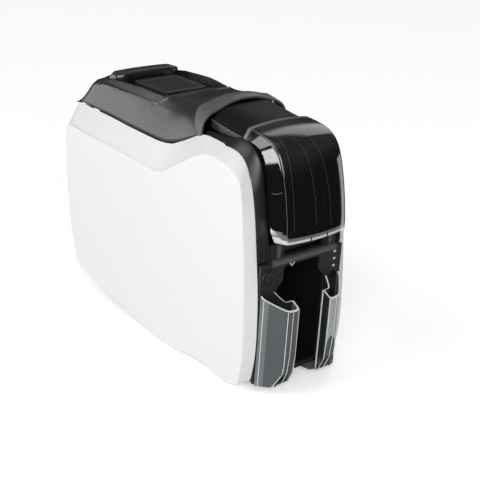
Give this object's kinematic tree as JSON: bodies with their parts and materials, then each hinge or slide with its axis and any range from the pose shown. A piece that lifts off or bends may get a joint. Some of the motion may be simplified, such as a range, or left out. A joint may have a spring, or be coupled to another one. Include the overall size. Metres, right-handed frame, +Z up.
{
  "type": "id card printer",
  "caption": "Desktop card printer with white side panels, a hinged dark lid, a smoke hopper cover over the card feeder, and a front output bin with two clear wings.",
  "frame": {"origin": "centre of the footprint, on the plane the feet stand on", "axes": "+Z up, front of the machine towards -Y, its right side seen from the front towards +X"},
  "size_m": [0.158, 0.3954, 0.313],
  "materials": {
    "white_plastic": "satin",
    "black_plastic": "fine texture",
    "gloss_black": "gloss",
    "dark_plastic": "satin",
    "grey_plastic": "satin",
    "bezel_plastic": "satin",
    "smoke_cover": "clear smoke",
    "smoke_clear": "clear smoke",
    "zinc_steel": "zinc plated",
    "bronze": "sintered",
    "circuit_board": "solder mask",
    "plated_shell": "plated",
    "rubber": "matte",
    "lamp_lens": "clear",
    "head_aluminium": "machined",
    "gear_plastic": "natural acetal",
    "ribbon_film": "film"
  },
  "bodies": {
    "body": {"left_side_panel": "white_plastic", "right_side_panel": "white_plastic", "base_pan": "black_plastic", "main_frame": "black_plastic", "rear_panel": "black_plastic", "front_fascia": "black_plastic", "feeder_bezel": "bezel_plastic", "feeder_sill": "black_plastic", "output_bin": "black_plastic", "left_output_wing": "smoke_clear", "right_output_wing": "smoke_clear", "wing_pegs": "black_plastic", "tap_cap": "gloss_black", "chassis_plates": "zinc_steel", "tie_bars": "zinc_steel", "feeder_tray": "black_plastic", "card_guides": "black_plastic", "shaft_bushes": "bronze", "cover_hinge_pins": "zinc_steel", "lid_hinge_brackets": "zinc_steel", "lid_hinge_pin": "zinc_steel", "latch_catches": "zinc_steel", "drive_motor": "zinc_steel", "idler_studs": "zinc_steel", "ribbon_cradle": "dark_plastic", "main_board": "circuit_board", "power_inlet": "black_plastic", "data_ports": "plated_shell", "casing_screws": "zinc_steel", "rubber_feet": "rubber", "status_lamps": "lamp_lens"},
    "lid": {"lid_shell": "dark_plastic", "saddle_band": "grey_plastic", "lid_frame": "black_plastic", "lid_hinge_arms": "zinc_steel", "head_bracket": "zinc_steel", "print_head": "head_aluminium", "head_springs": "zinc_steel"},
    "latch_pad": {"latch_pad": "dark_plastic"},
    "latch_bar": {"latch_bar": "zinc_steel"},
    "hopper_cover": {"hopper_cover": "smoke_cover", "cover_hinge_arms": "black_plastic"},
    "card_weight": {"card_weight": "dark_plastic"},
    "power_button": {"power_button": "gloss_black"},
    "lock_plug": {"lock_plug": "dark_plastic"},
    "pickup_roll": {"pickup_roller": "rubber", "pickup_gear": "gear_plastic"},
    "entry_roll": {"entry_roller": "rubber", "entry_gear": "gear_plastic"},
    "platen_roll": {"platen_roller": "rubber", "platen_gear": "gear_plastic"},
    "exit_roll": {"exit_roller": "rubber", "exit_gear": "gear_plastic"},
    "feed_idler": {"feed_idler": "gear_plastic"},
    "entry_idler": {"entry_idler": "gear_plastic"},
    "exit_idler": {"exit_idler": "gear_plastic"},
    "motor_pinion": {"motor_pinion": "bronze"},
    "supply_spool": {"supply_spool": "ribbon_film"},
    "takeup_spool": {"takeup_spool": "ribbon_film"}
  },
  "joints": [
    {"name": "lid_hinge", "type": "hinge", "parent": "body", "child": "lid", "pos_m": [0, 0.188, 0.246], "axis": [-1, 0, 0], "range_deg": [0, 90]},
    {"name": "latch_press", "type": "slide", "parent": "lid", "child": "latch_pad", "axis": [0, 0, -1], "range_m": [0, 0.0028], "stiffness_N_per_m": 500, "springref_m": -0.003},
    {"name": "latch_slide", "type": "slide", "parent": "lid", "child": "latch_bar", "axis": [0, 1, 0], "range_m": [0, 0.0028]},
    {"name": "cover_hinge", "type": "hinge", "parent": "body", "child": "hopper_cover", "pos_m": [0, -0.176, 0.186], "axis": [1, 0, 0], "range_deg": [0, 60]},
    {"name": "weight_lift", "type": "slide", "parent": "body", "child": "card_weight", "axis": [0, 0, 1], "range_m": [0, 0.06]},
    {"name": "power_press", "type": "slide", "parent": "body", "child": "power_button", "axis": [0, 1, 0], "range_m": [0, 0.0008], "stiffness_N_per_m": 400, "springref_m": -0.001},
    {"name": "lock_turn", "type": "hinge", "parent": "body", "child": "lock_plug", "pos_m": [-0.052, -0.17, 0.142], "axis": [0, -1, 0], "range_deg": [0, 90]},
    {"name": "platen_spin", "type": "hinge", "parent": "body", "child": "platen_roll", "pos_m": [0, 0, 0.156], "axis": [1, 0, 0], "continuous": true},
    {"name": "entry_spin", "type": "hinge", "parent": "body", "child": "entry_roll", "pos_m": [0, -0.062, 0.156], "axis": [1, 0, 0], "continuous": true},
    {"name": "exit_spin", "type": "hinge", "parent": "body", "child": "exit_roll", "pos_m": [0, 0.062, 0.156], "axis": [1, 0, 0], "continuous": true},
    {"name": "pickup_spin", "type": "hinge", "parent": "body", "child": "pickup_roll", "pos_m": [0, -0.128, 0.156], "axis": [1, 0, 0], "continuous": true},
    {"name": "feed_idler_spin", "type": "hinge", "parent": "body", "child": "feed_idler", "pos_m": [0, -0.094, 0.156], "axis": [1, 0, 0], "continuous": true},
    {"name": "entry_idler_spin", "type": "hinge", "parent": "body", "child": "entry_idler", "pos_m": [0, -0.0325, 0.156], "axis": [1, 0, 0], "continuous": true},
    {"name": "exit_idler_spin", "type": "hinge", "parent": "body", "child": "exit_idler", "pos_m": [0, 0.0325, 0.156], "axis": [1, 0, 0], "continuous": true},
    {"name": "motor_spin", "type": "hinge", "parent": "body", "child": "motor_pinion", "pos_m": [0, -0.0325, 0.1305], "axis": [1, 0, 0], "continuous": true},
    {"name": "supply_spin", "type": "hinge", "parent": "body", "child": "supply_spool", "pos_m": [0, 0.045, 0.206], "axis": [1, 0, 0], "continuous": true},
    {"name": "takeup_spin", "type": "hinge", "parent": "body", "child": "takeup_spool", "pos_m": [0, -0.045, 0.206], "axis": [1, 0, 0], "continuous": true}
  ],
  "couplings": [
    {"joint": "latch_slide", "follows": "latch_press", "ratio": 1},
    {"joint": "entry_idler_spin", "follows": "platen_spin", "ratio": -0.85714},
    {"joint": "exit_idler_spin", "follows": "platen_spin", "ratio": -0.85714},
    {"joint": "entry_spin", "follows": "platen_spin", "ratio": 1.25},
    {"joint": "exit_spin", "follows": "platen_spin", "ratio": 1.25},
    {"joint": "feed_idler_spin", "follows": "platen_spin", "ratio": -0.75},
    {"joint": "pickup_spin", "follows": "platen_spin", "ratio": 1.0714},
    {"joint": "motor_spin", "follows": "platen_spin", "ratio": 1.875}
  ]
}
